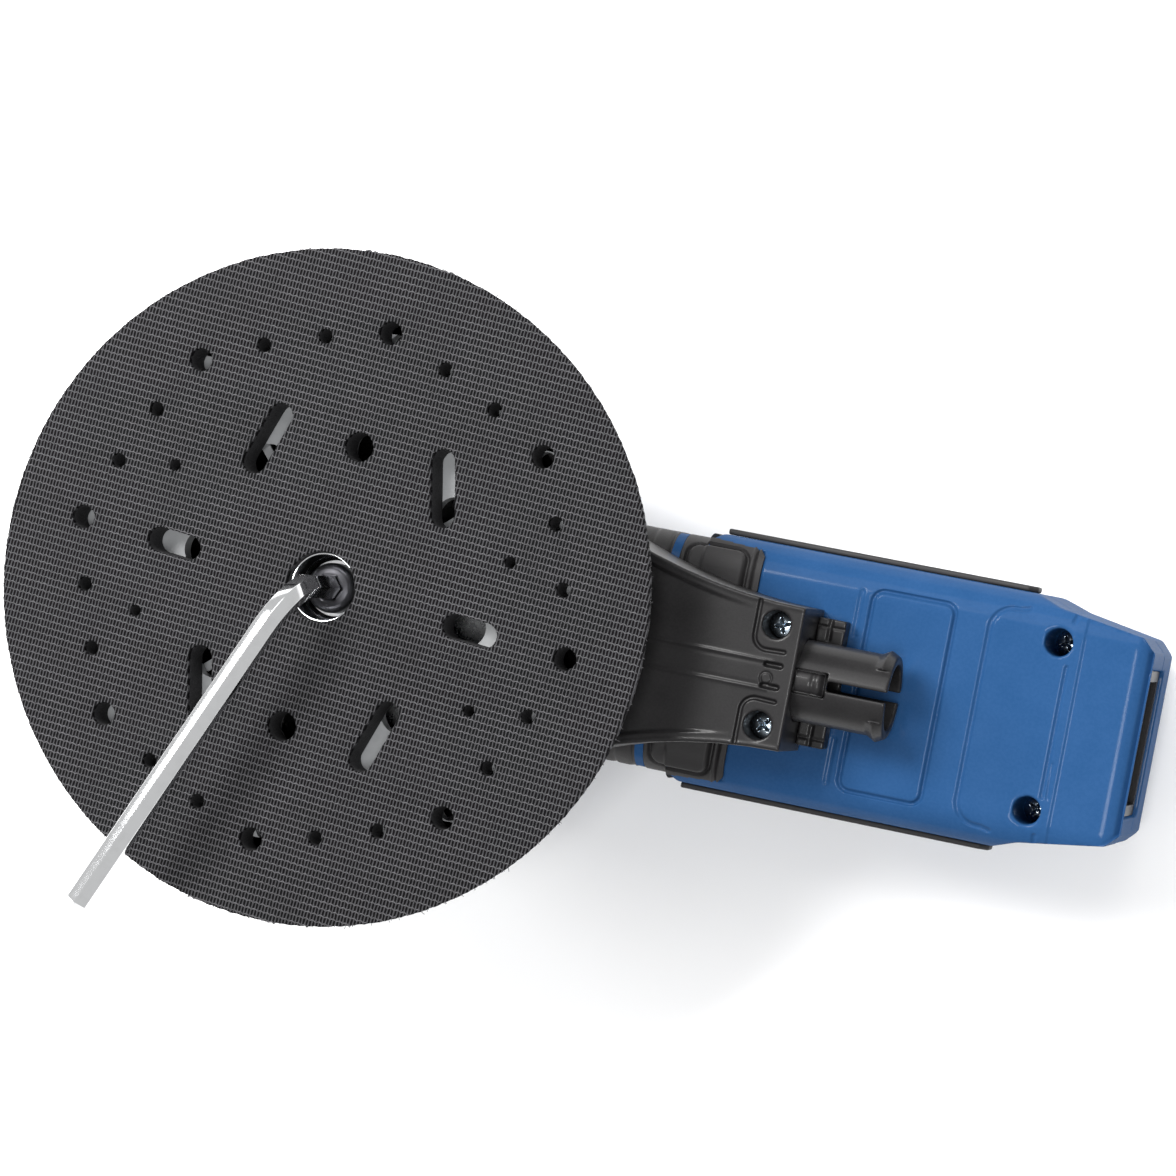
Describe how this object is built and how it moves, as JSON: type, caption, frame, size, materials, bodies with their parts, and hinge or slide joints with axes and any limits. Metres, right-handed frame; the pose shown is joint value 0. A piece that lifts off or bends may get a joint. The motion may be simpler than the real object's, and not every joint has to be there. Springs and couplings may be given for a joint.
{
  "type": "random orbital sander",
  "caption": "Mains palm sander with a round multi-hole hook pad on an eccentric drive, dust duct with split outlet, paddle lever, speed dial and a hex key in its pad screw.",
  "frame": {"origin": "on the motor axis, in the plane of the palm grip's crown and the rear heel, on which the tool lies on its back", "axes": "+Z out of the pad's face, along the motor axis; +X along the body to the rear end with the mains inlet; the tool is stored lying on its back as when its pad is changed, so turning it half a turn about X puts it pad down"},
  "size_m": [0.2529, 0.1539, 0.1234],
  "materials": {
    "blue_plastic": "satin, finely textured",
    "black_plastic": "matt, finely textured",
    "black_rubber": "matt soft-touch",
    "hook_fabric": "woven hook face",
    "pad_foam": "closed-cell foam",
    "plate_plastic": "light grey moulded plastic",
    "steel": "ground",
    "dark_steel": "black oxide",
    "screw_steel": "zinc plated",
    "key_chrome": "bright chrome",
    "cast_aluminium": "as cast",
    "winding_copper": "enamelled copper wire",
    "lamination": "stacked laminations",
    "board_green": "solder mask",
    "component_black": "moulded components",
    "lead_red": "insulated wire",
    "lead_blue": "insulated wire"
  },
  "bodies": {
    "root_body": {"upper_housing": "blue_plastic", "lower_housing": "blue_plastic", "palm_grip": "black_rubber", "side_grip_left": "black_rubber", "side_grip_right": "black_rubber", "bumper_strip_left": "black_rubber", "bumper_strip_right": "black_rubber", "housing_screws": "screw_steel", "motor_carrier": "cast_aluminium", "carrier_screws": "screw_steel", "shroud": "black_plastic", "pad_brake_ring": "black_rubber", "dust_duct": "black_plastic", "dust_port": "black_plastic", "duct_screws": "screw_steel", "stator_core": "lamination", "stator_windings": "winding_copper", "crown_bearing_outer": "steel", "crown_bearing_balls": "steel", "front_bearing_outer": "steel", "front_bearing_balls": "steel", "control_board": "board_green", "board_capacitors": "component_black", "board_heatsink": "cast_aluminium", "switch_body": "component_black", "lever_pin": "steel", "lever_spring": "steel", "dial_potentiometer": "component_black", "inlet_block": "black_plastic", "inlet_pins": "steel", "inlet_clips": "steel", "motor_leads": "lead_red", "inlet_leads": "lead_blue"},
    "rotor": {"motor_shaft": "steel", "rotor_core": "lamination", "rotor_magnets": "lamination", "crown_bearing_inner": "steel", "front_bearing_inner": "steel", "dust_fan": "black_plastic", "eccentric_carrier": "cast_aluminium", "counterweight": "steel", "pad_bearing_outer": "steel", "pad_bearing_balls": "steel", "bearing_circlip": "steel"},
    "pad": {"pad_bearing_inner": "steel", "pad_spindle": "steel", "backing_plate": "plate_plastic", "pad_foam": "pad_foam", "hook_face": "hook_fabric", "screw_cup_washer": "key_chrome"},
    "screw": {"pad_screw": "dark_steel"},
    "key": {"hex_key": "key_chrome"},
    "lever": {"paddle_lever": "black_plastic"},
    "plunger": {"switch_plunger": "lead_red"},
    "dial": {"speed_dial": "black_plastic", "dial_shaft": "steel"}
  },
  "joints": [
    {"name": "rotor_spin", "type": "hinge", "parent": "root_body", "child": "rotor", "pos_m": [0, 0, 0.05], "axis": [0, 0, 1], "continuous": true},
    {"name": "pad_spin", "type": "hinge", "parent": "rotor", "child": "pad", "pos_m": [-0.00245, 0.00052, 0.09], "axis": [0, 0, 1], "continuous": true},
    {"name": "pad_screw_turn", "type": "hinge", "parent": "pad", "child": "screw", "pos_m": [-0.00245, 0.00052, 0.09], "axis": [0, 0, 1], "range_deg": [0, 90]},
    {"name": "hex_key_pull", "type": "slide", "parent": "screw", "child": "key", "axis": [0, 0, 1], "range_m": [0, 0.03]},
    {"name": "lever_press", "type": "hinge", "parent": "root_body", "child": "lever", "pos_m": [0.048, 0, 0.007], "axis": [0, -1, 0], "range_deg": [0, 5], "stiffness_Nm_per_rad": 1.2, "springref_deg": -3.44, "deforming": ["lever_spring"]},
    {"name": "switch_travel", "type": "slide", "parent": "root_body", "child": "plunger", "axis": [0, 0, 1], "range_m": [0, 0.0022]},
    {"name": "speed_dial_turn", "type": "hinge", "parent": "root_body", "child": "dial", "pos_m": [0.134, 0, 0.0135], "axis": [0, 1, 0], "range_deg": [0, 270]}
  ],
  "couplings": [
    {"joint": "switch_travel", "follows": "lever_press", "m_per_rad": 0.024}
  ]
}
